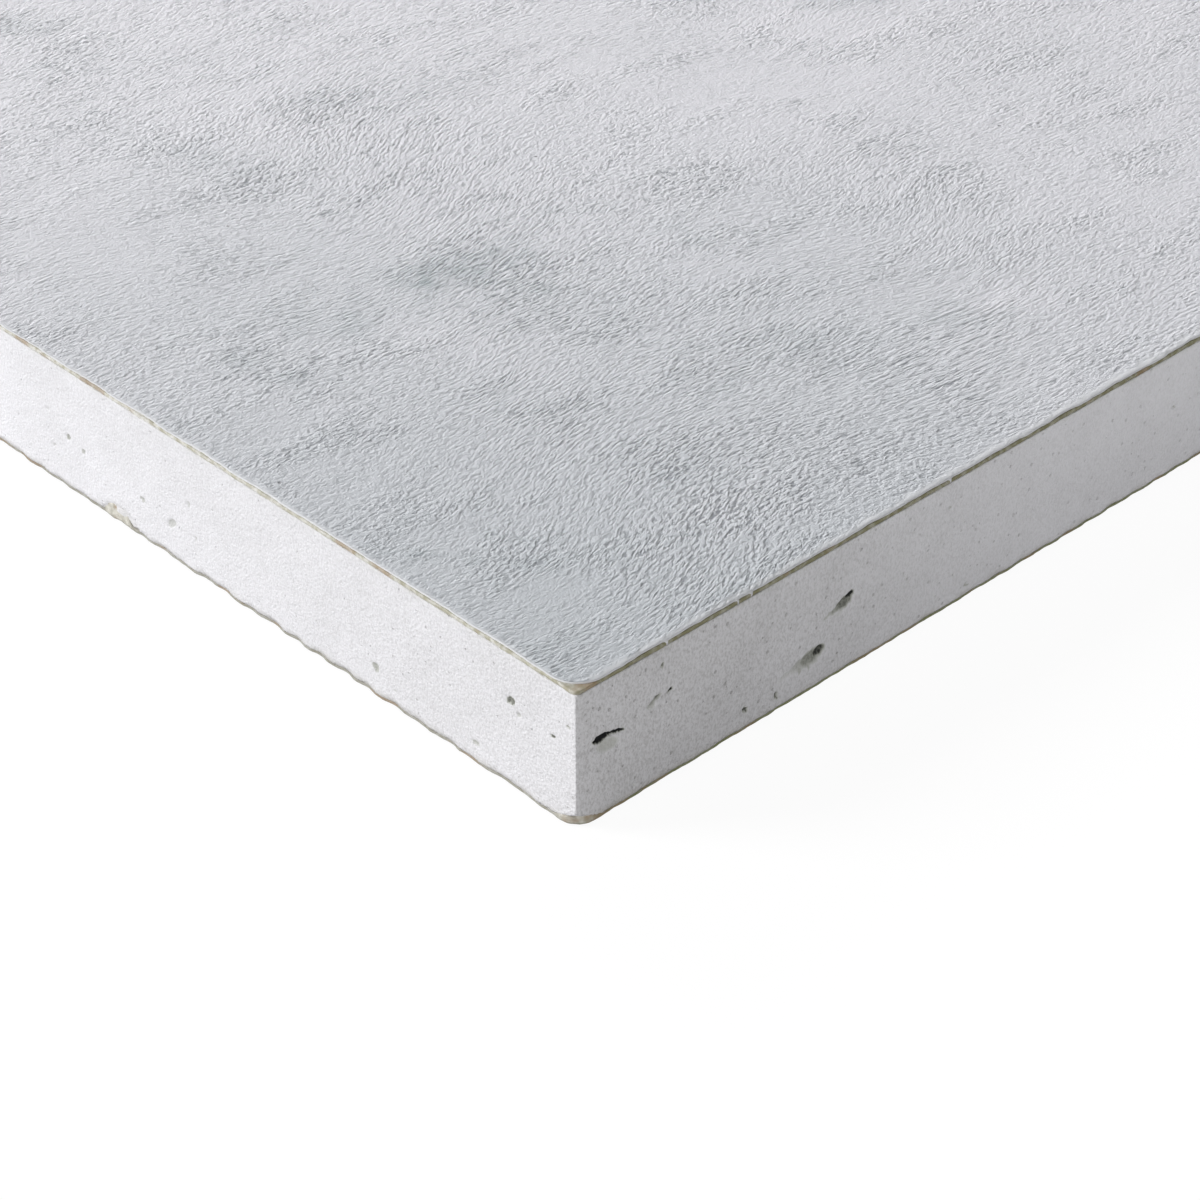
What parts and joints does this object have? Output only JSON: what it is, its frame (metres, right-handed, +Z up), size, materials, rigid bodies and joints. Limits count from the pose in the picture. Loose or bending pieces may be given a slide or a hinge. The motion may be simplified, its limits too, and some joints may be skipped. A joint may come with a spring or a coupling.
{
  "type": "drywall sheet",
  "caption": "Flat rectangular drywall sheet: white gypsum core between face and back papers, with a thin textured facing on top and plain square-cut edges.",
  "frame": {"origin": "centre of the sheet's bottom face, which is the back paper's outer face", "axes": "+X along the length, +Y across the width, +Z up through the thickness to the textured face"},
  "size_m": [2.4, 1.2, 0.0125],
  "materials": {
    "core": "matt white gypsum, sawn, with open air pores",
    "face_paper": "matt tan liner paper, cut edge ragged",
    "facing": "matt cool grey-white facing with a fine brushed emboss",
    "back_paper": "matt grey-tan liner paper, cut edge ragged"
  },
  "bodies": {
    "root": {"gypsum_core": "core", "face_paper": "face_paper", "textured_facing": "facing", "back_paper": "back_paper"}
  },
  "joints": []
}
